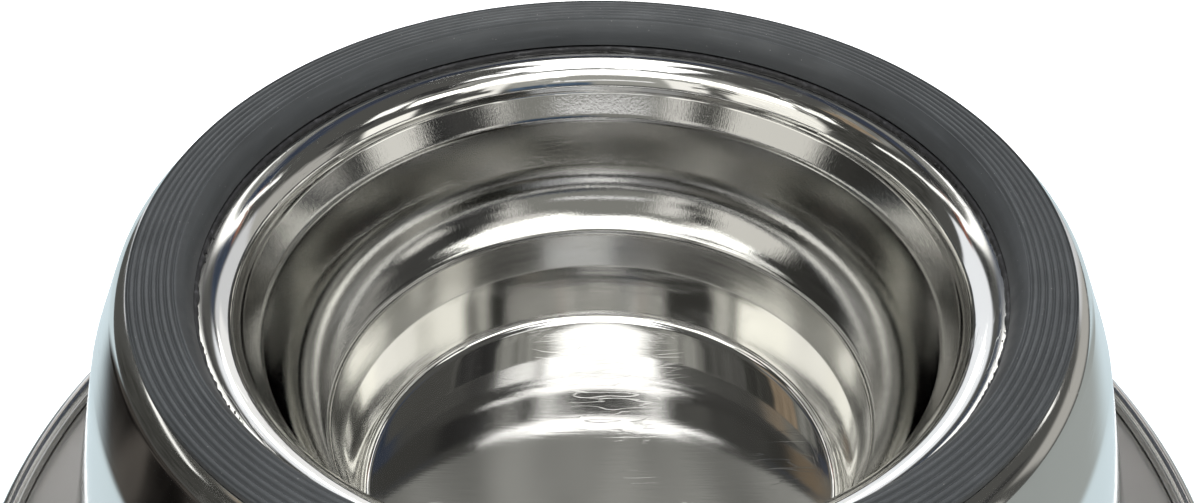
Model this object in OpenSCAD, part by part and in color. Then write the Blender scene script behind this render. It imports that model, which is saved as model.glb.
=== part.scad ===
// Pressed stainless pet bowl with a raised centre, seen and stored upside down:
// it stands on its wide rim and the ribbed grip ring under its base faces up.
// Every metal surface is one sheet: rolled rim bead, flat rim, tapered wall,
// narrow base that carries the ring, lip, coved recess and its mirror floor.
// Widths are radial and run inwards from the rim; drops run down from the base.

/* [Rim] */
// Overall diameter over the rolled rim bead
rim_d = 270; // [240:1:320]
// Width of the rim from its outer edge to the foot of the wall
rim_w = 18.8; // [15:0.1:24]
// Diameter of the rolled bead at the edge of the rim
bead_d = 4.4; // [3.6:0.1:6]
// Clearance between the cut edge of the curl and the flat rim
curl_gap = 0.3; // [0.2:0.05:0.5]

/* [Bowl] */
// Thickness of the steel sheet
sheet_t = 0.8; // [0.6:0.05:1]
// Height of the base above the rim plane
base_h = 82.6; // [70:0.1:100]
// Draft of the outer wall, in degrees from upright
wall_draft = 16.2; // [12:0.1:19]
// Fillet between the flat rim and the outer wall
foot_fillet = 5; // [3:0.5:8]
// Width of the shoulder between the wall and the base
shoulder_w = 7; // [6:0.1:9]
// Drop from the base to the shoulder
shoulder_drop = 15.6; // [13:0.1:18]
// Blend radius at the shoulder
shoulder_fillet = 25; // [10:1:30]
// Width of the flat base that carries the ring
base_w = 9; // [8:0.1:11]
// Blend radius round the base's outer corner
base_fillet = 5; // [3:0.25:6]

/* [Lip] */
// Width of the slope inside the base
ridge_w = 2.8; // [2.4:0.1:3.2]
// Drop of the slope inside the base
ridge_drop = 5.3; // [4.4:0.1:6.3]
// Width of the lip between the slope and the throat
lip_w = 8.4; // [7.6:0.1:8.8]
// Share of the lip's width that its rounding takes
lip_share = 0.74; // [0.6:0.01:0.77]

/* [Recess] */
// Width that the throat under the lip leans in
throat_w = 1; // [0.8:0.05:1.2]
// Drop of the throat under the lip
throat_drop = 6.7; // [6.5:0.1:8]
// Width of the small step under the throat
step_w = 2.8; // [2.4:0.1:3.2]
// Drop of the small step under the throat
step_drop = 5.2; // [4.5:0.1:5.9]
// Blend radius between the step and the satin wall
step_fillet = 6; // [3:0.5:7]
// Width of the steep upper part of the satin wall
satin_w = 3.4; // [2.8:0.1:3.8]
// Drop of the steep upper part of the satin wall
satin_drop = 19.5; // [17:0.1:22.5]
// Width of the cove that the satin wall ends in
cove_w = 6.6; // [5.6:0.1:7.6]
// Drop of the cove that the satin wall ends in
cove_drop = 6.3; // [5.5:0.1:7.2]
// Share of the cove's length that its rounding takes
cove_share = 0.86; // [0.6:0.01:0.88]
// Blend radius between the cove and the neck
neck_fillet = 3; // [1:0.25:3.5]
// Width of the neck between the cove and the sharp crease
neck_w = 1.9; // [1.6:0.1:2.2]
// Drop of the neck between the cove and the sharp crease
neck_drop = 8.9; // [7.5:0.1:10.3]
// Width of the bank between the sharp crease and the floor
bank_w = 1.9; // [1.5:0.1:2.3]
// Drop of the bank between the sharp crease and the floor
bank_drop = 15; // [12:0.1:17]
// Blend radius between the bank and the floor
floor_fillet = 2.5; // [1.5:0.1:5]
// Drop from the edge of the mirror floor to its middle
dish_drop = 1.1; // [0.8:0.1:1.4]

/* [Grip ring] */
// Width of bare base outside the ring
ring_inset = 2.4; // [2:0.1:3]
// Thickness of the ring over the base
ring_t = 1.6; // [1.3:0.05:2.2]
// Thickness of the ring's skirt
skirt_t = 1.7; // [1.4:0.05:1.8]
// Width from the skirt's lower edge to the ring's crest
skirt_w = 2.35; // [2:0.05:2.8]
// Clearance between the ring's skirt and the slope inside the base
skirt_gap = 0.35; // [0.3:0.05:0.5]
// Number of ribs moulded between the grooves of the ring
rib_n = 6; // [5:1:8]
// Width from each edge of the tread to its nearest groove
band_w = 0.5; // [0.45:0.05:0.7]
// Depth of the grooves between the ribs
groove_h = 0.45; // [0.3:0.05:0.6]

/* [Adhesive] */
// Thickness of the adhesive film under the ring
glue_t = 0.2; // [0.1:0.05:0.4]
// Width of the adhesive squeezed out at the inner edge
glue_bead_w = 1.6; // [1.3:0.1:1.9]
// Height of the adhesive bead at the ring's inner edge
glue_bead_h = 0.9; // [0.7:0.1:1.1]

/* [Hidden] */
// Facets round the axis, degrees turned by one facet of a blend, steps in the curl and in the floor
$fn = 180;
blend_step = 8;
curl_n = 20;
dish_n = 8;
// Radius of the tight creases as a share of the sheet's thickness
crease_share = 1.5;
// The curl starts where its cut edge clears the flat rim, and ends flat on the rim plane
half_circle = 180;
curl_foot = -half_circle / 2;
bead_r = bead_d / 2;
curl_x = rim_d / 2 - bead_r;
curl_start = half_circle + asin((bead_r - sheet_t - curl_gap) / bead_r);
// Corners of the visible side of the sheet, each placed from the one before it
foot = [rim_d / 2 - rim_w, sheet_t];
shoulder_h = base_h - shoulder_drop;
shoulder = [foot[0] - (shoulder_h - sheet_t) * tan(wall_draft), shoulder_h];
base = [shoulder[0] - shoulder_w, base_h];
ridge = base - [base_w, 0];
ledge = ridge - [ridge_w, ridge_drop];
lip = ledge - [lip_w, 0];
throat = lip - [throat_w, throat_drop];
step = throat - [step_w, step_drop];
cove = step - [satin_w, satin_drop];
neck = cove - [cove_w, cove_drop];
crease = neck - [neck_w, neck_drop];
bank = crease - [bank_w, bank_drop];
crease_fillet = crease_share * sheet_t;
// The floor is a shallow dish, an arc whose middle stands over the axis
dish_r = (bank[0] * bank[0] + dish_drop * dish_drop) / (2 * dish_drop);
dish_tilt = asin(bank[0] / dish_r);
dish_m = [0, bank[1] - dish_drop + dish_r];
dish_ahead = bank - bank[0] * [cos(dish_tilt), sin(dish_tilt)];
floor_tilt = dish_tilt * (1 - blend_reach(crease, bank, dish_ahead, floor_fillet) / bank[0]);
// Slope inside the base, in degrees
ridge_slope = atan2(ridge_drop, ridge_w);
// Flat bed of the base between its two rounded corners
bed_out = base[0] - blend_reach(shoulder, base, ridge, base_fillet);
bed_in = ridge[0] + blend_reach(base, ridge, ledge, crease_fillet);
// The bead of adhesive fills the gap under the ring's skirt
bead_top = ledge[1] + glue_bead_h;
bead_out = ledge[0] - blend_reach(ridge, ledge, lip, crease_fillet);
bead_in = bead_out - glue_bead_w;
// The ring from its skirt to its outer edge
ring_bed = base_h + glue_t;
ring_top = ring_bed + ring_t;
bore_r = skirt_r(bead_top) - skirt_t;
tread_in = bore_r + skirt_w;
tread_out = base[0] - ring_inset;
rib_pitch = (tread_out - tread_in - 2 * band_w) / rib_n;

function unit(v) = v / norm(v);
function left(v) = [-v[1], v[0]];
function cross2(a, b) = a[0] * b[1] - a[1] * b[0];
// Half of the turn at corner b of the path a, b, c
function half_turn(a, b, c) = acos(min(1, unit(b - a) * unit(c - b))) / 2;
// Distance from a corner to where a blend of radius r starts, and the radius that gives a distance
function blend_reach(a, b, c, r) = r * tan(half_turn(a, b, c));
function blend_radius(a, b, c, reach) = reach / tan(half_turn(a, b, c));
// Points of one blend, each with the sheet's direction of thickness
function blend(a, b, c, r) =
    let (u = unit(b - a), v = unit(c - b), h = half_turn(a, b, c), s = sign(cross2(u, v)))
    let (p = b - u * r * tan(h), m = p + s * left(u) * r, n = ceil(2 * h / blend_step) + 1)
    [for (i = [0 : n])
        let (w = s * 2 * h * i / n, l = left(u), e = [l[0] * cos(w) - l[1] * sin(w), l[0] * sin(w) + l[1] * cos(w)])
        [m - s * e * r, e]];

// Each corner from the rim to the axis with its blend radius
corners = [
    [foot, foot_fillet],
    [shoulder, shoulder_fillet],
    [base, base_fillet],
    [ridge, crease_fillet],
    [ledge, crease_fillet],
    [lip, blend_radius(ledge, lip, throat, lip_share * lip_w)],
    [throat, crease_fillet],
    [step, step_fillet],
    [cove, blend_radius(step, cove, neck, cove_share * norm(cove - neck))],
    [neck, neck_fillet],
    [crease, crease_fillet],
    [bank, floor_fillet]
];
path = concat(
    [for (i = [0 : curl_n])
        let (a = curl_start + (curl_foot - curl_start) * i / curl_n)
        [[curl_x, bead_r] + (bead_r - sheet_t) * [cos(a), sin(a)], [cos(a), sin(a)]]],
    [for (i = [0 : len(corners) - 1])
        let (a = i == 0 ? [curl_x, sheet_t] : corners[i - 1][0], c = i == len(corners) - 1 ? dish_ahead : corners[i + 1][0])
        for (q = blend(a, corners[i][0], c, corners[i][1])) q],
    [for (i = [1 : dish_n])
        let (w = floor_tilt * (1 - i / dish_n), e = [sin(w), -cos(w)])
        [dish_m + dish_r * e, e]]
);

// One sheet of steel, turned round the axis
module pressed_bowl() {
    color("silver")
    rotate_extrude()
    polygon(concat(
        [for (q = path) q[0]],
        [for (i = [len(path) - 1 : -1 : 0]) path[i][0] + sheet_t * path[i][1]]));
}

// Outline of the tread: grooves with the ribs left standing between them
function tread() = concat(
    [[tread_in, ring_top]],
    [for (i = [0 : rib_n])
        let (x = tread_in + band_w + i * rib_pitch, w = rib_pitch / 4)
        for (q = [[x - w, ring_top], [x - w / 2, ring_top - groove_h], [x + w / 2, ring_top - groove_h], [x + w, ring_top]]) q],
    [[tread_out, ring_top]]);

// Radius of the skirt's underside at height z, clear of the slope inside the base
function skirt_r(z) = ridge[0] - (base_h - z) / tan(ridge_slope) - skirt_gap / sin(ridge_slope);

// Ribbed rubber ring: ribs on top, a smooth skirt down its inner side
module grip_ring() {
    color("dimgray")
    rotate_extrude()
    polygon(concat(
        [[bore_r, bead_top]],
        tread(),
        [[tread_out, ring_bed], [skirt_r(ring_bed), ring_bed], [skirt_r(bead_top), bead_top]]));
}

// Adhesive that bonds the ring: a film on the base and a bead under the skirt
module adhesive() {
    color("black")
    rotate_extrude() {
        polygon([[bed_in, base_h], [bed_out, base_h], [bed_out, ring_bed], [bed_in, ring_bed]]);
        polygon([[bead_in, ledge[1]], [bead_out, ledge[1]], [bead_out, bead_top], [bead_in + glue_bead_h / 2, bead_top]]);
    }
}

pressed_bowl();
grip_ring();
adhesive();
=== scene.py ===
"""Pressed stainless pet bowl, upturned on its rolled rim, with a ribbed grip ring.

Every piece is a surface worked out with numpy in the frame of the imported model.
"""

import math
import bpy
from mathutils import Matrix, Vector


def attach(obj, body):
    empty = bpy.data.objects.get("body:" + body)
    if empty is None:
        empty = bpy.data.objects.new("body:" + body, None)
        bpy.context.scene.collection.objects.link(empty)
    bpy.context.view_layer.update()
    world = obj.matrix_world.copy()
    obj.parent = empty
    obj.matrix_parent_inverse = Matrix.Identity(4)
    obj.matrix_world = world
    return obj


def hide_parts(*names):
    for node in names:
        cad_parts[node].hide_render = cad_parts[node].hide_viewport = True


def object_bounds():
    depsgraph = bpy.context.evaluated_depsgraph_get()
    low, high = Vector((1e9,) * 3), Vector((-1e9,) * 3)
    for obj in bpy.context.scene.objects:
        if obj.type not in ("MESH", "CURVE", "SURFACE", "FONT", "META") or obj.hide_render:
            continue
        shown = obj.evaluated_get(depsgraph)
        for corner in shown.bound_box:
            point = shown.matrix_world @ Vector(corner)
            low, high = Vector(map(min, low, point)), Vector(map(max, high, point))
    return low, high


bl_info = {
    "name": "Upturned Pet Bowl",
    "version": (1, 0, 0),
    "blender": (4, 5, 0),
    "location": "3D View > Sidebar > Pet Bowl",
    "description": "Pressed steel bowl with a ribbed grip ring, squeezed adhesive and a plain studio",
    "category": "Add Mesh",
}

from collections import namedtuple

import bpy
import numpy as np
from bpy.props import FloatProperty, FloatVectorProperty, IntProperty, PointerProperty
from mathutils import Matrix

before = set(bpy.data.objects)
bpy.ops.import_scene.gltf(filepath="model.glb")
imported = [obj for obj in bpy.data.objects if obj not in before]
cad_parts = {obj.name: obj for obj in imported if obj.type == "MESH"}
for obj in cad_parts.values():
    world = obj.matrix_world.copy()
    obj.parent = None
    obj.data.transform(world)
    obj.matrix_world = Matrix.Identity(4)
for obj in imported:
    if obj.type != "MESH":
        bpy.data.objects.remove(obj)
CAD_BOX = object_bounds()
MM = 0.001
FULL_TURN = 2 * math.pi
WHITE = (1.0, 1.0, 1.0, 1.0)
RIM_D = 2 * min(abs(corner[axis]) for corner in CAD_BOX for axis in (0, 1)) / MM


def length(name, millimetres, text):
    """A length property, written in millimetres and kept in metres."""
    return FloatProperty(name=name, description=text, default=millimetres * MM, unit="LENGTH", precision=5)


def angle(name, degrees, text):
    """An angle property, written in degrees."""
    return FloatProperty(name=name, description=text, default=math.radians(degrees), subtype="ANGLE")


def share(name, value, text):
    """A share between none and all."""
    return FloatProperty(name=name, description=text, default=value, subtype="FACTOR")


def colour(name, rgb, text):
    """A linear colour."""
    return FloatVectorProperty(name=name, description=text, default=rgb, size=3, subtype="COLOR")


class BowlSizes(bpy.types.PropertyGroup):
    """Sizes of the steel sheet, as in the part's source, and the height of its slow waves."""

    rim_d: length("Rim", RIM_D, "Overall diameter over the rolled rim bead")
    rim_w: length("Rim width", 18.8, "From the outer edge to the foot of the wall")
    bead_d: length("Bead", 4.4, "Diameter of the rolled bead")
    curl_gap: length("Curl gap", 0.3, "Clearance between the cut edge and the flat rim")
    sheet_t: length("Sheet", 0.8, "Thickness of the steel sheet")
    base_h: length("Base height", 82.6, "Height of the base above the rim plane")
    wall_draft: angle("Wall draft", 16.2, "Lean of the outer wall from upright")
    foot_fillet: length("Foot fillet", 5, "Fillet between the flat rim and the wall")
    shoulder_w: length("Shoulder width", 7, "Radial width of the shoulder")
    shoulder_drop: length("Shoulder drop", 15.6, "From the base down to the shoulder")
    shoulder_fillet: length("Shoulder blend", 25, "Blend radius at the shoulder")
    base_w: length("Base width", 9, "Width of the flat base under the ring")
    base_fillet: length("Base blend", 5, "Blend radius of the base's outer corner")
    ridge_w: length("Slope width", 2.8, "Width of the slope inside the base")
    ridge_drop: length("Slope drop", 5.3, "Drop of the slope inside the base")
    lip_w: length("Lip width", 8.4, "Width of the polished lip")
    lip_share: share("Lip rounding", 0.74, "Share of the lip's width that its rounding takes")
    throat_w: length("Throat lean", 1, "Width that the throat leans in")
    throat_drop: length("Throat drop", 6.7, "Drop of the throat under the lip")
    step_w: length("Step width", 2.8, "Width of the small step")
    step_drop: length("Step drop", 5.2, "Drop of the small step")
    step_fillet: length("Step blend", 6, "Blend radius between the step and the satin wall")
    satin_w: length("Satin width", 3.4, "Width of the steep upper part of the satin wall")
    satin_drop: length("Satin drop", 19.5, "Drop of the steep upper part of the satin wall")
    cove_w: length("Cove width", 6.6, "Width of the cove that the satin wall ends in")
    cove_drop: length("Cove drop", 6.3, "Drop of the cove that the satin wall ends in")
    cove_share: share("Cove rounding", 0.86, "Share of the cove's length that its rounding takes")
    neck_fillet: length("Neck blend", 3, "Blend radius between the cove and the neck")
    neck_w: length("Neck width", 1.9, "Width of the neck over the crease")
    neck_drop: length("Neck drop", 8.9, "Drop of the neck over the crease")
    bank_w: length("Bank width", 1.9, "Width of the bank under the crease")
    bank_drop: length("Bank drop", 15, "Drop of the bank under the crease")
    floor_fillet: length("Floor blend", 2.5, "Blend radius between the bank and the floor")
    dish_drop: length("Floor dish", 1.1, "Drop from the edge of the floor to its middle")
    crease_share: FloatProperty(name="Crease", description="Crease radius in sheet thicknesses", default=1.5)
    wave: length("Waves", 0.03, "Height of the slow waves that pressing leaves in the sheet")


class RingSizes(bpy.types.PropertyGroup):
    """Sizes of the grip ring and the adhesive that bonds it."""

    ring_inset: length("Inset", 2.4, "Bare base outside the ring")
    ring_t: length("Thickness", 1.6, "Thickness of the ring over the base")
    skirt_t: length("Skirt thickness", 1.7, "Thickness of the skirt")
    skirt_w: length("Skirt", 2.35, "From the skirt's lower edge to the crest")
    skirt_gap: length("Skirt gap", 0.35, "Clearance between the skirt and the slope")
    rib_n: IntProperty(name="Ribs", description="Ribs between the grooves", default=6)
    band_w: length("Edge band", 0.5, "From each edge of the tread to its nearest groove")
    groove_h: length("Groove", 0.45, "Depth of the grooves")
    crown_w: length("Crest width", 1.6, "Width that the rounding of the crest takes")
    crown_h: length("Crest rounding", 0.5, "Drop of the tread at the crest")
    edge_round: length("Edge rounding", 0.3, "Radius of the ring's outer top edge")
    skirt_bulge: length("Skirt bulge", 0.4, "How far the skirt's face swells")
    skirt_lift: length("Skirt lift", 0.5, "From the adhesive's top to the skirt's lower edge")
    skirt_wobble: length("Skirt wobble", 0.12, "Unevenness of the skirt round the ring")
    glue_t: length("Film", 0.2, "Thickness of the adhesive film")
    glue_bead_w: length("Bead width", 1.6, "Width of the squeezed adhesive")
    glue_bead_h: length("Bead height", 0.9, "Height of the squeezed adhesive")
    crumb_n: IntProperty(name="Crumbs", description="Crumbs at the ring's inner edge", default=150)


class Finishes(bpy.types.PropertyGroup):
    """Colours of steel, rubber and adhesive, and how worn they are."""

    steel: colour("Steel", (0.74, 0.735, 0.715), "Reflectance of the steel")
    rubber: colour("Rubber", (0.029, 0.0315, 0.0335), "Colour of the rubber")
    dust: colour("Dust", (0.42, 0.41, 0.39), "Colour of the dust on the rubber")
    glue: colour("Adhesive", (0.012, 0.012, 0.013), "Colour of the adhesive")
    scratch: share("Scratches", 0.5, "Strength of the hairline scratches")
    satin: share("Satin", 0.035, "Roughness of the satin wall")


class Studio(bpy.types.PropertyGroup):
    """Camera, floor and lights."""

    lens: FloatProperty(name="Lens", description="Focal length in millimetres", default=43.159)
    sensor: FloatProperty(name="Sensor", description="Width of the sensor in millimetres", default=36.0)
    eye: FloatVectorProperty(
        name="Eye",
        description="Place of the camera",
        default=(-0.0004, -0.21668, 0.24959),
        unit="LENGTH",
        precision=5,
    )
    pitch: angle("Pitch", 38.416, "Angle of the view below the horizon")
    roll: angle("Roll", 0.332, "Turn of the camera about its axis")
    floor: colour("Floor", (0.86, 0.87, 0.89), "Colour of the floor")
    floor_lift: FloatProperty(name="Floor lift", description="Glow of the floor as it is seen", default=0.3)
    lamp: FloatProperty(name="Overhead lamp", description="Power of the overhead lamp in watts", default=60.0)
    sky: FloatProperty(name="Room light", description="Strength of the light from the room", default=0.55)


# Shapes

REGIONS = ("bead", "rim", "wall", "base", "lip", "satin", "neck", "bank", "floor")
CURL_POINTS = 31
FLOOR_POINTS = 19
LEG_SHARES = np.array([0.02, 0.26, 0.5, 0.74, 0.98])[:, None]
SHARP_EDGE = math.radians(32)


def unit(v):
    """Vector of length one along v."""
    return v / np.linalg.norm(v)


def half_turn(a, b, c):
    """Half of the turn at corner b of the path a, b, c."""
    return math.acos(min(1.0, float(unit(b - a) @ unit(c - b)))) / 2


def round_turn(around):
    """Angles of one full turn in even steps, without its end."""
    return np.linspace(0, FULL_TURN, around, endpoint=False)


def blend(a, b, c, radius, step=math.radians(5)):
    """Arc that touches both legs at corner b, with the sheet's inward direction at each point.

    Its centre stands off the corner so that the arc starts radius times tan(half the turn) before it.
    """
    u, v = unit(b - a), unit(c - b)
    h = half_turn(a, b, c)
    s = np.sign(u[0] * v[1] - u[1] * v[0])
    left = np.array([-u[1], u[0]])
    centre = b - u * radius * math.tan(h) + s * left * radius
    w = s * 2 * h * np.linspace(0, 1, max(4, math.ceil(2 * h / step)) + 1)
    inward = (left[0] * np.cos(w) - left[1] * np.sin(w), left[0] * np.sin(w) + left[1] * np.cos(w))
    e = np.stack(inward, -1)
    return centre - s * e * radius, e


def corner_points(q):
    """Corners of the visible side of the sheet, each placed from the one before it."""
    foot = np.array([q.rim_d / 2 - q.rim_w, q.sheet_t])
    shoulder_h = q.base_h - q.shoulder_drop
    shoulder = np.array([foot[0] - (shoulder_h - q.sheet_t) * math.tan(q.wall_draft), shoulder_h])
    places = {"foot": foot, "shoulder": shoulder, "base": np.array([shoulder[0] - q.shoulder_w, q.base_h])}
    last = places["base"]
    for name, w, drop in (
        ("ridge", q.base_w, 0),
        ("ledge", q.ridge_w, q.ridge_drop),
        ("lip", q.lip_w, 0),
        ("throat", q.throat_w, q.throat_drop),
        ("step", q.step_w, q.step_drop),
        ("cove", q.satin_w, q.satin_drop),
        ("neck", q.cove_w, q.cove_drop),
        ("crease", q.neck_w, q.neck_drop),
        ("bank", q.bank_w, q.bank_drop),
    ):
        last = last - np.array([w, drop])
        places[name] = last
    places["centre"] = np.array([0.0, last[1] - q.dish_drop])
    return places


def sheet_path(q):
    """Visible side of the sheet from the cut edge of the curl to the axis.

    An arc for the curl, straight legs with an arc at each corner, then the shallow arc of the floor.
    Returns the points, the direction of thickness and the region of each, and the corners.
    """
    c = corner_points(q)
    tight = q.crease_share * q.sheet_t
    lip_r = q.lip_share * q.lip_w / math.tan(half_turn(c["ledge"], c["lip"], c["throat"]))
    cove_reach = q.cove_share * math.hypot(q.cove_w, q.cove_drop)
    cove_r = cove_reach / math.tan(half_turn(c["step"], c["cove"], c["neck"]))
    order = (
        ("foot", q.foot_fillet, "rim"),
        ("shoulder", q.shoulder_fillet, "wall"),
        ("base", q.base_fillet, "wall"),
        ("ridge", tight, "base"),
        ("ledge", tight, "base"),
        ("lip", lip_r, "lip"),
        ("throat", tight, "lip"),
        ("step", q.step_fillet, "satin"),
        ("cove", cove_r, "satin"),
        ("neck", q.neck_fillet, "satin"),
        ("crease", tight, "neck"),
        ("bank", q.floor_fillet, "bank"),
    )
    bead_r = q.bead_d / 2
    curl_x = q.rim_d / 2 - bead_r
    start = math.pi + math.asin((bead_r - q.sheet_t - q.curl_gap) / bead_r)
    a = np.linspace(start, -math.pi / 2, CURL_POINTS)
    e = np.stack([np.cos(a), np.sin(a)], -1)
    points, ways = [np.array([curl_x, bead_r]) + (bead_r - q.sheet_t) * e], [e]
    regions = ["bead"] * len(a)
    dish_r = (c["bank"][0] ** 2 + q.dish_drop**2) / (2 * q.dish_drop)
    tilt = math.asin(c["bank"][0] / dish_r)
    floor_end = c["bank"] - c["bank"][0] * np.array([math.cos(tilt), math.sin(tilt)])
    rim_start = np.array([curl_x, q.sheet_t])
    legs = [rim_start, *(c[name] for name, radius, region in order), floor_end]
    for before, corner, after, (name, radius, region) in zip(legs, legs[1:], legs[2:], order):
        p, e = blend(before, corner, after, radius)
        leg = points[-1][-1] + (p[0] - points[-1][-1]) * LEG_SHARES
        points += [leg, p]
        ways += [np.repeat(e[:1], len(leg), 0), e]
        regions += [region] * (len(leg) + len(p))
    r = points[-1][-1][0] * (1 - np.linspace(0, 1, FLOOR_POINTS)[1:-1])
    points.append(np.stack([r, c["centre"][1] + dish_r - np.sqrt(dish_r**2 - r**2)], -1))
    ways.append(np.stack([r / dish_r, -np.sqrt(1 - (r / dish_r) ** 2)], -1))
    regions += ["floor"] * len(r)
    return np.concatenate(points), np.concatenate(ways), regions, c


def lathe(name, rows, heights, marks=None, poles=(None, None), closed=False):
    """Surface of revolution: rows and heights hold one radius and height for each profile point and angle.

    A point is (r cos t, r sin t, z). The profile is a closed loop, or it is open and may end
    in poles on the axis.
    """
    n, m = rows.shape
    marks = np.zeros(n, int) if marks is None else marks
    t = round_turn(m) - np.pi / 2
    verts = [np.stack([rows * np.cos(t), rows * np.sin(t), heights], -1).reshape(-1, 3)]
    i = np.arange(n if closed else n - 1)[:, None]
    j = np.arange(m)[None, :]
    k = (j + 1) % m
    after = (i + 1) % n
    quads = np.stack([i * m + j, i * m + k, after * m + k, after * m + j], -1).reshape(-1, 4)
    tris, tri_marks = [], []
    for z, row, turn in zip(poles, (0, n - 1), (-1, 1)):
        if z is None:
            continue
        pole = np.full(m, n * m + len(verts) - 1)
        verts.append(np.array([[0.0, 0.0, z]]))
        edges = (row * m + j[0], row * m + k[0])
        tris.append(np.stack([pole, *edges[::turn]], -1))
        tri_marks.append(np.full(m, marks[row]))
    return shell(name, np.concatenate(verts), quads, np.repeat(marks[: len(i)], m), tris, tri_marks)


def shell(name, verts, quads, marks, tris=(), tri_marks=()):
    """Mesh object from points and from four-sided and three-sided faces, turned to a positive volume."""
    tris = np.concatenate([np.zeros((0, 3), int), *tris])
    tri_marks = np.concatenate([np.zeros(0, int), *tri_marks])
    flat = np.concatenate([quads[:, [0, 1, 2]], quads[:, [0, 2, 3]], tris])
    p = verts[flat]
    if np.einsum("ij,ij->i", p[:, 0], np.cross(p[:, 1], p[:, 2])).sum() < 0:
        quads, tris = quads[:, ::-1], tris[:, ::-1]
    mesh = bpy.data.meshes.new(name)
    mesh.vertices.add(len(verts))
    mesh.vertices.foreach_set("co", verts.astype(np.float32).ravel())
    loops = np.concatenate([quads.ravel(), tris.ravel()])
    mesh.loops.add(len(loops))
    mesh.loops.foreach_set("vertex_index", loops.astype(np.int32))
    starts = np.concatenate([np.arange(len(quads)) * 4, len(quads) * 4 + np.arange(len(tris)) * 3])
    mesh.polygons.add(len(starts))
    mesh.polygons.foreach_set("loop_start", starts.astype(np.int32))
    mesh.polygons.foreach_set("material_index", np.concatenate([marks, tri_marks]).astype(np.int32))
    mesh.update(calc_edges=True)
    mesh.validate()
    mesh.shade_smooth()
    mesh.set_sharp_from_angle(angle=SHARP_EDGE)
    piece = bpy.data.objects.new(name, mesh)
    bpy.context.scene.collection.objects.link(piece)
    return piece


def settle(piece, node, slot, *materials):
    """Gives a piece its materials and its body, and hides the model's node that it stands for. The slot is
    not used.
    """
    for m in materials:
        piece.data.materials.append(m)
    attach(piece, "root")
    if node:
        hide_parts(node)


# Finishes


class Graph:
    """The nodes of a material or of the world, added from left to right."""

    def __init__(self, holder):
        self.holder = holder
        holder.use_nodes = True
        self.nodes = holder.node_tree.nodes
        self.links = holder.node_tree.links
        self.nodes.clear()

    def add(self, kind, inputs=None, **settings):
        """A node with its settings; an input is linked from a socket or set to a value."""
        node = self.nodes.new(kind)
        node.location = (180 * len(self.nodes), 0)
        for key, value in settings.items():
            setattr(node, key, value)
        for key, value in (inputs or {}).items():
            if isinstance(value, bpy.types.NodeSocket):
                self.links.new(value, node.inputs[key])
            elif value is not None:
                node.inputs[key].default_value = value
        return node

    def math(self, operation, *values):
        """Arithmetic on numbers."""
        return self.add("ShaderNodeMath", dict(enumerate(values)), operation=operation).outputs[0]

    def vector(self, operation, *values):
        """Arithmetic on vectors."""
        node = self.add("ShaderNodeVectorMath", dict(enumerate(values)), operation=operation)
        return node.outputs["Value" if operation in ("DOT_PRODUCT", "LENGTH") else "Vector"]

    def ramp(self, value, low, high, to_low=0.0, to_high=1.0):
        """Smooth step from one value to another as the input goes from low to high."""
        keys = {"Value": value, "From Min": low, "From Max": high, "To Min": to_low, "To Max": to_high}
        return self.add("ShaderNodeMapRange", keys, interpolation_type="SMOOTHSTEP").outputs[0]

    def noise(self, vector, scale, detail=2.0, roughness=0.5, distortion=0.0):
        """Fractal noise, around one half."""
        keys = {"Vector": vector, "Scale": scale, "Detail": detail, "Roughness": roughness}
        keys["Distortion"] = distortion
        return self.add("ShaderNodeTexNoise", keys).outputs["Fac"]

    def mix(self, factor, a, b):
        """Colour between a and b; each is a socket or three numbers."""
        full = [v if isinstance(v, bpy.types.NodeSocket) else (*v, 1.0) for v in (a, b)]
        return self.add("ShaderNodeMix", {0: factor, 6: full[0], 7: full[1]}, data_type="RGBA").outputs[2]

    def place(self):
        """Object coordinates, and the same in turned form: direction round the axis, radius and height."""
        co = self.add("ShaderNodeTexCoord").outputs["Object"]
        split = self.add("ShaderNodeSeparateXYZ", {"Vector": co}).outputs
        flat = self.add("ShaderNodeCombineXYZ", {"X": split["X"], "Y": split["Y"]}).outputs[0]
        return co, self.vector("NORMALIZE", flat), self.vector("LENGTH", flat), split["Z"]

    def scale(self, vector, x, y, z):
        """Vector with each axis times its own number."""
        return self.vector("MULTIPLY", vector, (x, y, z))

    def turned(self, way, radius, height, along, across):
        """Coordinates that run slowly round the axis and quickly across it, for marks left by turning."""
        rise = self.math("ADD", self.math("MULTIPLY", radius, across), self.math("MULTIPLY", height, across))
        lift = self.add("ShaderNodeCombineXYZ", {"Z": rise}).outputs[0]
        return self.vector("ADD", self.scale(way, along, along, 0), lift)

    def bump(self, height, strength, distance, normal=None):
        """Normal tilted by the slope of a height, over an earlier normal if there is one."""
        keys = {"Strength": strength, "Distance": distance, "Height": height, "Normal": normal}
        return self.add("ShaderNodeBump", keys).outputs[0]

    def seen_ray(self):
        """One for a ray of the camera, a mirror or a glass, and none for any other."""
        path = self.add("ShaderNodeLightPath").outputs
        looked = self.math("MAXIMUM", path["Is Camera Ray"], path["Is Glossy Ray"])
        return self.math("MAXIMUM", looked, path["Is Transmission Ray"])

    def finish(self, shader, output="ShaderNodeOutputMaterial"):
        """Joins the shader to the output."""
        self.add(output, {"Surface": shader})
        return self.holder


def new_graph(name):
    """Graph of a new material."""
    return Graph(bpy.data.materials.new(name))


def shade(rgb, factor):
    """Colour made darker or lighter."""
    return tuple(x * factor for x in rgb)


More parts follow.
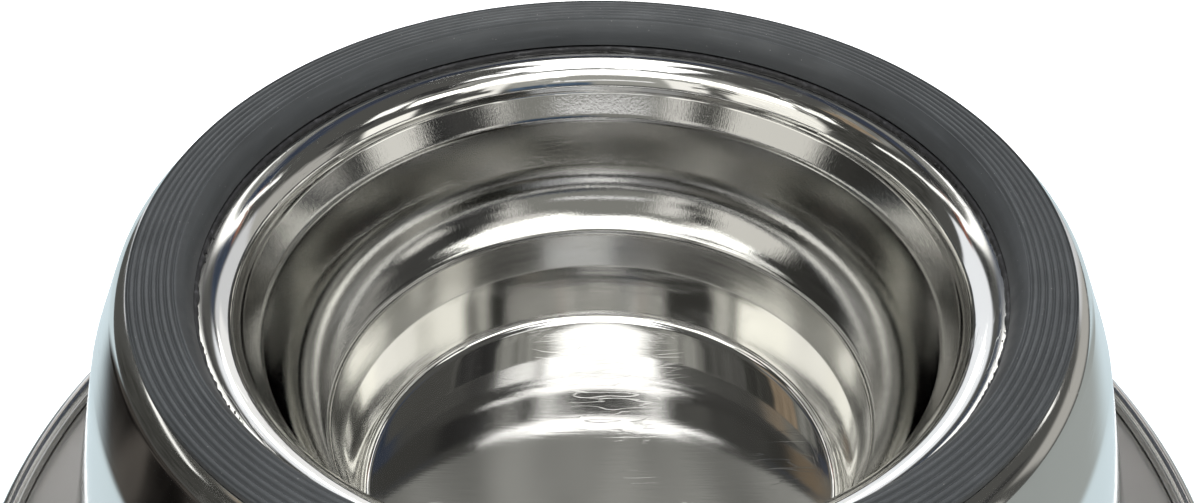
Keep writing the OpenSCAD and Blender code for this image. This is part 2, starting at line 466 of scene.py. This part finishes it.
def grain_lines(g, grain, co, way, radius, z):
    """Noise drawn out along the run of the grain, and how deep its marks are."""
    if grain == "turned":
        return g.noise(g.turned(way, radius, z, 2.0, 1500.0), 1.0, 4.0, 0.7), 0.01 * MM
    if grain == "straight":
        return g.noise(g.scale(co, 14.0, 2600.0, 60.0), 1.0, 4.0, 0.75), 0.03 * MM
    if grain == "fine":
        return g.noise(g.scale(co, 90.0, 1400.0, 60.0), 1.0, 4.0, 0.7), 0.01 * MM
    drawn = g.vector("ADD", g.scale(way, 260.0, 260.0, 0.0), g.scale(co, 0.0, 0.0, 320.0))
    return g.noise(drawn, 1.0, 4.0, 0.65), 0.04 * MM


def steel(name, tint, rough, grain, scratch, polish=None):
    """Bare steel: colour clouds, hairline scratches, and a turned, straight, fine or drawn grain.

    Polish gives the heights between which the roughness falls, and the share of it that is left above.
    """
    g = new_graph(name)
    co, way, radius, z = g.place()
    cloud = 0.03
    clouds = g.ramp(g.noise(co, 22.0, 3.0), 0.3, 0.7)
    base = g.mix(clouds, shade(tint, 1 - cloud), shade(tint, 1 + cloud))
    lines, depth = grain_lines(g, grain, co, way, radius, z)
    runs = g.scale(co, 60.0, 420.0, 0.0) if grain == "fine" else g.turned(way, radius, z, 5.0, 900.0)
    hair = g.noise(runs, 1.0, 1.0)
    thin = g.ramp(g.math("ABSOLUTE", g.math("SUBTRACT", hair, 0.5)), 0.0, 0.02, 1.0, 0.0)
    scratches = g.math("MULTIPLY", thin, g.ramp(g.noise(co, 45.0), 0.5, 0.72))
    value = g.math("MULTIPLY_ADD", g.math("SUBTRACT", lines, 0.5), rough * 0.7, rough)
    value = g.math("MULTIPLY_ADD", scratches, 0.25 * scratch, value)
    if polish is not None:
        low, high, left = polish
        value = g.math("MULTIPLY", value, g.ramp(z, low, high, 1.0, left))
    normal = g.bump(lines, 0.35, depth)
    if grain == "drawn":
        normal = g.bump(g.noise(co, 1700.0, 3.0, 0.6), 0.2, 0.06 * MM, normal)
    normal = g.bump(scratches, 0.4 * scratch, 0.03 * MM, normal)
    keys = {"Base Color": base, "Metallic": 1.0, "Roughness": value, "Normal": normal}
    return g.finish(g.add("ShaderNodeBsdfPrincipled", keys).outputs[0])


def rubber(finish):
    """Dull rubber: mottled grey, rubbed paler on the rib tops, with grains of dust."""
    g = new_graph("ribbed_rubber")
    co, way, radius, z = g.place()
    dark = tuple(finish.rubber)
    mottled = g.mix(g.noise(co, 60.0, 4.0, 0.6), shade(dark, 0.75), shade(dark, 1.35))
    rubbed = g.noise(g.turned(way, radius, z, 5.0, 700.0), 1.0, 4.0, 0.7)
    base = g.mix(g.ramp(rubbed, 0.45, 0.8, 0.0, 0.35), mottled, shade(dark, 2.2))
    grains = g.add("ShaderNodeTexVoronoi", {"Vector": co, "Scale": 1500.0}).outputs
    lucky = g.ramp(g.add("ShaderNodeSeparateXYZ", {"Vector": grains["Color"]}).outputs[0], 0.93, 0.97)
    speck = g.math("MULTIPLY", g.ramp(grains["Distance"], 0.08, 0.2, 1.0, 0.0), lucky)
    base = g.mix(g.math("MULTIPLY", speck, 0.35), base, tuple(finish.dust))
    rough = g.ramp(g.noise(co, 130.0, 3.0), 0.3, 0.7, 0.42, 0.58)
    normal = g.bump(g.noise(co, 2600.0), 0.25, 0.04 * MM)
    normal = g.bump(rubbed, 0.2, 0.03 * MM, normal)
    keys = {"Base Color": base, "Roughness": rough, "Normal": normal, "Specular IOR Level": 0.55}
    return g.finish(g.add("ShaderNodeBsdfPrincipled", keys).outputs[0])


def adhesive(finish):
    """Hardened black adhesive: uneven gloss over a lumpy skin, dusty on its high spots."""
    g = new_graph("black_adhesive")
    co = g.add("ShaderNodeTexCoord").outputs["Object"]
    dark = tuple(finish.glue)
    base = g.mix(g.ramp(g.noise(co, 700.0, 3.0), 0.55, 0.8), dark, shade(dark, 4))
    rough = g.ramp(g.noise(co, 300.0), 0.3, 0.7, 0.35, 0.75)
    normal = g.bump(g.noise(co, 1500.0, 4.0), 0.5, 0.15 * MM)
    keys = {"Base Color": base, "Roughness": rough, "Normal": normal}
    return g.finish(g.add("ShaderNodeBsdfPrincipled", keys).outputs[0])


# Pieces


def slow_waves(size, n, around):
    """Sum of low waves round the axis and along the profile, seeded, the highest of the given size."""
    rng = np.random.default_rng(7)
    t = round_turn(around)[None, :]
    s = np.linspace(0, 1, n)[:, None]
    total = np.zeros((n, around))
    for k in (2, 3, 4, 5, 7, 9):
        for along in (1.0, 2.5):
            total += np.cos(k * t + rng.uniform(0, 6.28) + along * FULL_TURN * s) * rng.uniform(0.3, 1) / k
    return total / np.abs(total).max() * size


class BOWL_OT_sheet(bpy.types.Operator):
    """Turn the pressed steel sheet: rolled rim, wall, base, lip, recess and floor"""

    bl_idname = "bowl.sheet"
    bl_label = "Steel Sheet"

    around = 272
    # The waves stay out of the lowest and the highest part of the sheet by a gap, and then grow
    # over these heights, and over this radius from the axis
    calm_gap = 4 * MM
    calm_rim = 20 * MM
    calm_ring = 6 * MM
    calm_axis = 40 * MM

    def execute(self, context):
        q, f = context.scene.bowl_sizes, context.scene.bowl_finishes
        points, ways, regions, c = sheet_path(q)
        n = len(points)
        r, z = points[:, 0][:, None], points[:, 1][:, None]
        calm = np.clip((z - self.calm_gap) / self.calm_rim, 0, 1)
        calm = calm * np.clip((q.base_h - self.calm_gap - z) / self.calm_ring, 0, 1)
        calm = calm * np.clip(r / self.calm_axis, 0, 1) ** 2
        waves = slow_waves(q.wave, n, self.around) * calm
        back = np.unique(np.append(np.arange(n - 1, -1, -2), 0))[::-1]
        loop = np.concatenate([(points + q.sheet_t * ways)[back], points])
        lean = np.concatenate([ways[back], ways])
        waves = np.concatenate([waves[back], waves])
        rows = loop[:, 0][:, None] + lean[:, 0][:, None] * waves
        heights = loop[:, 1][:, None] + lean[:, 1][:, None] * waves
        seen = np.array([REGIONS.index(region) for region in regions])
        hidden = np.where(seen[back] == REGIONS.index("bead"), seen[back], REGIONS.index("bank"))
        middle = c["centre"][1]
        poles = (middle - q.sheet_t, middle)
        piece = lathe("pressed_sheet", rows, heights, np.concatenate([hidden, seen]), poles)
        settle(piece, "pressed_bowl", "steel", *self.finishes(f, c["step"][1]))
        return {"FINISHED"}

    def finishes(self, f, step_height):
        """One steel for each region: its tint, roughness, grain and scratches."""
        tint = tuple(f.steel)
        polish = (step_height + 1.0 * MM, step_height + 2.2 * MM, 0.4)
        return (
            steel("bead_steel", shade(tint, 0.9), 0.16, "turned", 0.3),
            steel("rim_steel", shade(tint, 0.74), 0.34, "straight", 0.4),
            steel("wall_steel", tint, 0.10, "turned", 0.3),
            steel("base_steel", tint, 0.16, "turned", 0.3),
            steel("lip_steel", tint, 0.07, "turned", f.scratch),
            # The satin wall's steel is darkened to 0.64 of the tint as painted shade of the recess; its
            # roughness and drawn grain are the real satin finish.
            steel("satin_steel_painted_shade", shade(tint, 0.64), f.satin, "drawn", 0.2, polish),
            steel("neck_steel", shade(tint, 0.85), 0.16, "turned", 0.4),
            steel("bank_steel", tint, 0.06, "turned", 0.6),
            steel("floor_steel", tint, 0.05, "fine", f.scratch),
        )


def skirt_radius(q, r, z):
    """Radius of the skirt's underside at height z, clear of the slope inside the base."""
    slope = math.atan2(q.ridge_drop, q.ridge_w)
    return corner_points(q)["ridge"][0] - (q.base_h - z) / math.tan(slope) - r.skirt_gap / math.sin(slope)


def glue_top(q, r):
    """Height of the top of the squeezed adhesive, where the skirt starts."""
    return corner_points(q)["ledge"][1] + r.glue_bead_h


def bore_radius(q, r):
    """Radius of the ring's bore at the skirt's lower edge."""
    return skirt_radius(q, r, glue_top(q, r)) - r.skirt_t


class BOWL_OT_ring(bpy.types.Operator):
    """Mould the rubber grip ring: rounded skirt, fine ribs and a soft outer edge"""

    bl_idname = "bowl.ring"
    bl_label = "Grip Ring"

    around = 360
    face_points = 26
    tread_points = 150
    edge_points = 8

    def execute(self, context):
        q, r, f = context.scene.bowl_sizes, context.scene.bowl_ring, context.scene.bowl_finishes
        loop = self.outline(q, r)
        rng = np.random.default_rng(11)
        t = round_turn(self.around)[None, :]
        wobble = sum(np.cos(k * t + rng.uniform(0, 6.28)) / k for k in (3, 5, 8, 13, 21)) * r.skirt_wobble
        free = np.zeros((len(loop), 1))
        skirt = self.face_points - 1
        free[:skirt] = np.sin(np.pi * np.linspace(0.15, 0.5, skirt))[:, None] * 0.8
        rows = loop[:, 0][:, None] + wobble * free
        heights = np.repeat(loop[:, 1][:, None], self.around, 1)
        piece = lathe("ribbed_ring", rows, heights, closed=True)
        settle(piece, "grip_ring", "rubber", rubber(f))
        return {"FINISHED"}

    def outline(self, q, r):
        """Closed outline: a face that swells by a half sine, a grooved tread, a rounded edge and the bed.

        Each groove is the fourth power of a cosine deep.
        """
        bead_top, bed, bore = glue_top(q, r), q.base_h + r.glue_t, bore_radius(q, r)
        top = bed + r.ring_t
        crest, edge = bore + r.skirt_w, corner_points(q)["base"][0] - r.ring_inset
        first, last = crest + r.band_w, edge - r.band_w
        x = np.linspace(crest, edge - r.edge_round, self.tread_points)
        phase = (x - first) / (last - first) * r.rib_n
        inside = (phase > -0.5) & (phase < r.rib_n + 0.5)
        groove = np.where(inside, np.cos(np.pi * phase) ** 4, 0)
        crown = r.crown_h * np.clip(1 - (x - crest) / r.crown_w, 0, 1) ** 2
        tread = np.stack([x, top - crown - r.groove_h * groove], -1)
        a = np.linspace(0, np.pi / 2, self.edge_points)
        corner = np.array([edge, top]) - r.edge_round
        outer = corner + r.edge_round * np.stack([np.sin(a), np.cos(a)], -1)
        s = np.linspace(0, 1, self.face_points)[:, None]
        lower, upper = np.array([bore, bead_top + r.skirt_lift]), tread[0]
        swell = np.array([-math.sin(1.0), math.cos(1.0)]) * r.skirt_bulge
        face = lower + (upper - lower) * s + swell * np.sin(np.pi * s)
        under = [[edge, bed], [skirt_radius(q, r, bed), bed], [skirt_radius(q, r, bead_top), bead_top]]
        return np.concatenate([face[:-1], tread, outer[1:], under])


class BOWL_OT_adhesive(bpy.types.Operator):
    """Squeeze out the adhesive: a lumpy bead under the skirt, the film and loose crumbs"""

    bl_idname = "bowl.adhesive"
    bl_label = "Adhesive"

    around = 720
    bead_points = 13
    film_around = 180
    # From the corner at the foot of the slope to the bead, and from the lip up to the bead
    bead_inset = 0.6 * MM
    clear = 0.02 * MM
    # From the corners of the base to the outer and the inner edge of the film
    film_inset = 3.5 * MM
    film_gap = 0.8 * MM

    def execute(self, context):
        q, r, f = context.scene.bowl_sizes, context.scene.bowl_ring, context.scene.bowl_finishes
        c = corner_points(q)
        bed, bore = q.base_h + r.glue_t, bore_radius(q, r)
        ledge = c["ledge"][1]
        material = adhesive(f)
        rng = np.random.default_rng(5)
        rows, heights = self.bead(rng, r, c["ledge"][0] - self.bead_inset, ledge + self.clear)
        bead = lathe("adhesive_bead", rows, heights, closed=True)
        settle(bead, "adhesive", "glue", material)
        bed_out, bed_in = c["base"][0] - self.film_inset, c["ridge"][0] + self.film_gap
        loop = np.array([[bed_in, q.base_h], [bed_out, q.base_h], [bed_out, bed], [bed_in, bed]])
        rows, heights = np.repeat(loop.T[:, :, None], self.film_around, 2)
        film = lathe("adhesive_film", rows, heights, closed=True)
        settle(film, None, "glue", material)
        self.crumbs(rng, r.crumb_n, bore, ledge, material)
        return {"FINISHED"}

    def bead(self, rng, r, outer, foot):
        """Half-round bead, its width and height changed round the ring by a sum of many small waves."""
        t = round_turn(self.around)
        counts = range(9, 330, 7)
        lumps = sum(np.cos(k * t + rng.uniform(0, 6.28)) * rng.uniform(0.4, 1) / k**0.5 for k in counts)
        lumps = lumps / np.abs(lumps).max()
        s = np.linspace(0, np.pi, self.bead_points)[:, None]
        reach = r.glue_bead_w * (0.98 + 0.3 * lumps)
        rise = r.glue_bead_h * (1.0 + 0.12 * np.roll(lumps, 9))
        return outer - reach * (1 - np.cos(s)) / 2, foot + rise * np.sin(s) ** 0.8

    def crumbs(self, rng, count, bore, ledge, material):
        """Loose crumbs: each is a small sphere of 6 by 4 points, its points moved in or out at random."""
        a = round_turn(6)[None, :]
        h = np.radians([-60, -20, 20, 60])[:, None]
        ball = np.stack([np.cos(h) * np.cos(a), np.cos(h) * np.sin(a), np.sin(h) + 0 * a], -1).reshape(-1, 3)
        ball = np.concatenate([ball, [[0, 0, -1], [0, 0, 1]]])
        t = rng.uniform(0, FULL_TURN, count)
        radius = bore - rng.uniform(0.1 * MM, 0.9 * MM, count)
        size = rng.uniform(0.08 * MM, 0.26 * MM, count)
        centre = np.stack([radius * np.cos(t), radius * np.sin(t), ledge + 0.7 * size], -1)
        knobs = rng.uniform(0.7, 1.2, (count, len(ball), 1))
        verts = (centre[:, None] + size[:, None, None] * ball * knobs).reshape(-1, 3)
        i, j = np.arange(3)[:, None], np.arange(6)[None, :]
        k = (j + 1) % 6
        quads = np.stack([i * 6 + j, i * 6 + k, (i + 1) * 6 + k, (i + 1) * 6 + j], -1).reshape(-1, 4)
        low = np.stack([np.full(6, 24), k[0], j[0]], -1)
        high = np.stack([np.full(6, 25), 18 + j[0], 18 + k[0]], -1)
        shift = (np.arange(count) * len(ball))[:, None, None]
        quads = (quads[None] + shift).reshape(-1, 4)
        tris = (np.concatenate([low, high])[None] + shift).reshape(-1, 3)
        marks, tri_marks = np.zeros(len(quads), int), np.zeros(len(tris), int)
        piece = shell("adhesive_crumbs", verts, quads, marks, [tris], [tri_marks])
        settle(piece, None, "glue", material)


# Studio

Card = namedtuple("Card", "azimuth height half_w half_h soft tone")


def card(azimuth, height, half_w, half_h, soft, *tone):
    """A plain card: azimuth from the far side, height over the horizon, half width, half height
    and softness in degrees, then its tone as a grey or a colour."""
    return Card(azimuth, height, half_w, half_h, soft, tone if len(tone) == 3 else tone * 3)


def pair(azimuth, *rest):
    """The same card on both sides."""
    return card(azimuth, *rest), card(-azimuth, *rest)


def room_cards():
    """Cards round the bowl that show in the steel, each over the ones before it."""
    return (
        # Wide and grey, to the right, behind the camera and high at both sides
        card(60, 17, 27, 12, 7, 0.50, 0.49, 0.46),
        card(180, 34, 30, 26, 8, 0.40, 0.40, 0.37),
        *pair(125, 60, 18, 6, 4, 0.36, 0.36, 0.34),
        # Bright and dark, low and halfway up at the sides and behind the camera
        card(108, 15, 9, 9, 3, 1.3, 1.28, 1.20),
        card(126, 27, 7, 14, 3, 0.05),
        card(139.5, 23, 7, 16, 3, 1.2, 1.18, 1.12),
        card(147, 40, 9, 4, 2, 1.2, 1.18, 1.12),
        card(-152, 24, 6, 14, 2, 1.2, 1.18, 1.12),
        card(163, 12, 13, 5, 3, 0.08, 0.12, 0.18),
        card(-122, 27, 17, 21, 4, 1.2, 1.18, 1.10),
        card(-80, 34, 20, 29, 8, 0.06, 0.06, 0.055),
        card(86, 39, 9, 4, 2, 0.05),
        # Pale and bright, low on the far side
        card(30, 16, 16, 15, 6, 0.78, 0.79, 0.81),
        card(-18, 18.5, 23, 17.5, 3, 1.10, 1.13, 1.18),
        card(0, 23, 12, 4, 3, 4.0),
        card(10, 12, 11, 11, 4, 1.1),
        # Dark, over those, with a reddish one at each side
        card(-22, 48, 12, 11, 4, 0.06),
        card(19, 45, 9, 13, 5, 0.05, 0.065, 0.10),
        card(0, 57, 13, 5, 3, 0.05, 0.06, 0.09),
        card(-31, 40, 2.2, 6, 1.5, 0.32, 0.13, 0.09),
        card(31, 40, 2.2, 6, 1.5, 0.32, 0.15, 0.10),
        card(0, 48, 10, 3.5, 2, 0.26, 0.26, 0.245),
        # Thin bright line across the far side
        card(0, 43.6, 22, 1.4, 0.8, 1.8, 1.8, 1.75),
        *pair(-33, 43.6, 12, 1.4, 0.8, 1.8, 1.8, 1.75),
        card(-58, 43.8, 12, 1.4, 0.8, 1.6, 1.6, 1.55),
        # Dark and tan, high at the sides
        card(102, 62, 7, 5.5, 2, 0.045),
        card(-103, 62, 7, 5.5, 2, 0.11, 0.11, 0.105),
        card(-50, 58, 9, 5, 3, 0.30, 0.30, 0.28),
        card(-60, 58, 5, 4, 1.5, 0.36, 0.28, 0.20),
        # Small, bright and dark, at the sides
        *pair(96, 48, 5, 5, 1.5, 1.6, 1.6, 1.52),
        card(136, 20, 7, 4.5, 2, 0.10, 0.10, 0.095),
        card(-144, 24, 6, 3, 2, 0.14, 0.14, 0.13),
        # Bright row halfway up behind the camera, with small dark ones and a thin bright one under it
        card(123, 44, 10, 5, 3, 3.4, 3.4, 3.2),
        card(-122, 46, 10, 7, 2.5, 3.0, 3.0, 2.85),
        card(150, 47.5, 12, 6.5, 3, 3.4, 3.4, 3.2),
        card(-150, 50, 12, 5, 2.5, 3.0, 3.0, 2.85),
        card(180, 51, 16, 6, 2.5, 3.0, 3.0, 2.9),
        card(133, 28, 6, 6, 2, 0.10, 0.10, 0.095),
        card(-140, 33, 5, 5, 2, 0.12, 0.12, 0.11),
        card(-104, 41, 5, 4, 2, 0.10, 0.10, 0.095),
        card(180, 24.8, 15, 1.3, 0.8, 1.4),
        # Bright, high up and overhead
        card(180, 60, 24, 4, 2, 2.2),
        card(118, 70.5, 5, 3, 1.5, 2.2),
        card(180, 80, 13, 10, 1.5, 3.0),
        card(0, 80, 6.5, 11, 2, 3.0),
    )


def ground_cards():
    """Cards on the floor outside the rim: dark to the left, grey to the right and behind the camera."""
    return (
        card(-112, -4, 43, 40, 8, 0.05, 0.045, 0.04),
        card(108, -4, 45, 40, 8, 0.39, 0.42, 0.41),
        card(180, -4, 24, 40, 8, 0.25, 0.24, 0.22),
    )


def card_mask(g, way, c):
    """One inside the card and none outside: a soft-edged rectangle in the plane that faces the bowl there."""
    a, h = math.radians(c.azimuth), math.radians(c.height)
    ahead = (math.sin(a) * math.cos(h), math.cos(a) * math.cos(h), math.sin(h))
    right = (math.cos(a), -math.sin(a), 0.0)
    up = (-math.sin(a) * math.sin(h), -math.cos(a) * math.sin(h), math.cos(h))
    depth = g.math("MAXIMUM", g.vector("DOT_PRODUCT", way, ahead), 0.001)
    mask = g.ramp(depth, 0.05, 0.1)
    for axis, half in ((right, c.half_w), (up, c.half_h)):
        across = g.math("ABSOLUTE", g.math("DIVIDE", g.vector("DOT_PRODUCT", way, axis), depth))
        near, far = (math.tan(math.radians(half + side * c.soft / 2)) for side in (-1, 1))
        mask = g.math("MULTIPLY", mask, g.ramp(across, near, far, 1.0, 0.0))
    return mask


class BOWL_OT_studio(bpy.types.Operator):
    """Set the plain studio: camera, pale floor, lights and the cards that the steel mirrors"""

    bl_idname = "bowl.studio"
    bl_label = "Studio"

    # Radii of the floor's rings and of the ring of cards, in metres, and how far each lies off the rim plane
    floor_rings = (0.5 * MM, 0.3, 1.0, 6.0)
    floor_drop = 0.02 * MM
    ground_rings = (0.14, 0.3, 1.0, 3.0)
    ground_lift = 0.2 * MM
    # Inside about this radius the cards on the floor don't show
    ground_clear = 0.2
    dome_r = 3.0
    dome_rows = 24
    floor_around = 96
    card_around = 64
    # Sides of the overhead lamp, its place in metres and its lean about X and Y in degrees
    lamp_sides = (1.2, 1.0)
    lamp_place = (0.1, -0.35, 1.8)
    lamp_lean = (-11, 3)
    # Cards darker than this are cloudy
    dull = 0.4

    def execute(self, context):
        s = context.scene.bowl_studio
        self.camera(context, s)
        self.floor(s)
        self.lights(context, s)
        self.cards()
        return {"FINISHED"}

    def camera(self, context, s):
        """Camera at its place, turned about its axis and then down from the horizon."""
        camera = bpy.data.cameras.new("view")
        camera.lens, camera.sensor_width, camera.sensor_fit = s.lens, s.sensor, "HORIZONTAL"
        camera.clip_start, camera.clip_end = 0.01, 50.0
        eye = bpy.data.objects.new("view", camera)
        context.scene.collection.objects.link(eye)
        eye.location = s.eye
        eye.rotation_mode = "QUATERNION"
        turn = Matrix.Rotation(math.pi / 2 - s.pitch, 3, "X") @ Matrix.Rotation(s.roll, 3, "Z")
        eye.rotation_quaternion = turn.to_quaternion()
        context.scene.camera = eye

    def floor(self, s):
        """Flat pale disc that keeps the bowl's shadow and shows nearly white."""
        rows = np.repeat(np.array(self.floor_rings)[:, None], self.floor_around, 1)
        heights = np.full(rows.shape, -self.floor_drop)
        floor = lathe("floor", rows, heights, poles=(-self.floor_drop, None))
        g = new_graph("pale_floor")
        co = g.add("ShaderNodeTexCoord").outputs["Object"]
        tone = g.mix(g.noise(co, 3.0), shade(s.floor, 0.98), tuple(s.floor))
        keys = {"Base Color": tone, "Roughness": 0.9, "Specular IOR Level": 0.1}
        matt = g.add("ShaderNodeBsdfPrincipled", keys).outputs[0]
        glow = {"Color": WHITE, "Strength": g.math("MULTIPLY", g.seen_ray(), s.floor_lift)}
        lift = g.add("ShaderNodeEmission", glow).outputs[0]
        floor.data.materials.append(g.finish(g.add("ShaderNodeAddShader", {0: matt, 1: lift}).outputs[0]))

    def lights(self, context, s):
        """White room that lights at a plain level and is seen as white, and one wide lamp overhead."""
        world = bpy.data.worlds.new("room")
        context.scene.world = world
        g = Graph(world)
        level = g.ramp(g.seen_ray(), 0.0, 1.0, s.sky, 1.0)
        back = g.add("ShaderNodeBackground", {"Color": WHITE, "Strength": level}).outputs[0]
        g.finish(back, "ShaderNodeOutputWorld")
        lamp = bpy.data.lights.new("overhead", "AREA")
        lamp.shape = "RECTANGLE"
        lamp.size, lamp.size_y = self.lamp_sides
        lamp.energy = s.lamp
        rig = bpy.data.objects.new("overhead", lamp)
        context.scene.collection.objects.link(rig)
        rig.location = self.lamp_place
        rig.rotation_euler = (*map(math.radians, self.lamp_lean), 0)
        rig.visible_glossy = False

    def cards(self):
        """A wide dome and a ring on the floor that only mirrored rays meet."""
        e = np.radians(np.linspace(-0.5, 89.5, self.dome_rows))[:, None]
        sides = (self.dome_r * np.cos(e), self.dome_r * np.sin(e))
        rows, heights = (np.repeat(side, self.card_around, 1) for side in sides)
        dome = lathe("studio_dome", rows, heights, poles=(None, self.dome_r))
        self.light_up(dome, (0.095, 0.095, 0.09), room_cards(), 0.35)
        rows = np.repeat(np.array(self.ground_rings)[:, None], self.card_around, 1)
        ground = lathe("studio_ground", rows, np.full(rows.shape, self.ground_lift))
        self.light_up(ground, (0.70, 0.82, 0.87), ground_cards(), 0.9, self.ground_clear)

    def light_up(self, piece, base, cards, uneven, clear=None):
        """Emission over a piece: its base tone with the cards over it, the dull ones a little cloudy."""
        g = new_graph(piece.name)
        co = g.add("ShaderNodeTexCoord").outputs["Object"]
        way = g.vector("NORMALIZE", co)
        cloud = g.ramp(g.noise(co, 5.0, 3.0, distortion=1.5), 0.35, 0.65, 1 - uneven, 1 + uneven)
        tone = base
        for c in cards:
            own = g.vector("MULTIPLY", c.tone, cloud) if max(c.tone) < self.dull else c.tone
            tone = g.mix(card_mask(g, way, c), tone, own)
        if clear is not None:
            tone = g.mix(g.ramp(g.vector("LENGTH", co), clear * 0.9, clear * 1.1), base, tone)
        piece.data.materials.append(g.finish(g.add("ShaderNodeEmission", {"Color": tone}).outputs[0]))
        piece.visible_camera = False
        piece.visible_diffuse = False
        piece.visible_shadow = False


class VIEW3D_PT_bowl(bpy.types.Panel):
    """Sidebar panel with the bowl's sizes, finishes and steps"""

    bl_label = "Pet Bowl"
    bl_space_type = "VIEW_3D"
    bl_region_type = "UI"
    bl_category = "Pet Bowl"

    def draw(self, context):
        layout = self.layout
        for step in STEPS:
            layout.operator(step.bl_idname)
        for group in GROUPS:
            box = layout.box()
            box.label(text=group)
            for key in getattr(context.scene, group).bl_rna.properties.keys():
                if key not in ("rna_type", "name"):
                    box.prop(getattr(context.scene, group), key)


GROUPS = {"bowl_sizes": BowlSizes, "bowl_ring": RingSizes, "bowl_finishes": Finishes, "bowl_studio": Studio}
STEPS = (BOWL_OT_sheet, BOWL_OT_ring, BOWL_OT_adhesive, BOWL_OT_studio)


def register():
    for name, group in GROUPS.items():
        bpy.utils.register_class(group)
        setattr(bpy.types.Scene, name, PointerProperty(type=group))
    for cls in (*STEPS, VIEW3D_PT_bowl):
        bpy.utils.register_class(cls)


def unregister():
    for cls in (VIEW3D_PT_bowl, *reversed(STEPS)):
        bpy.utils.unregister_class(cls)
    for name, group in reversed(GROUPS.items()):
        delattr(bpy.types.Scene, name)
        bpy.utils.unregister_class(group)


def main():
    """Builds the studio and the pieces."""
    register()
    bpy.context.scene.view_settings.view_transform = "Standard"
    bpy.ops.bowl.studio()
    bpy.ops.bowl.sheet()
    bpy.ops.bowl.ring()
    bpy.ops.bowl.adhesive()


if __name__ == "__main__":
    main()
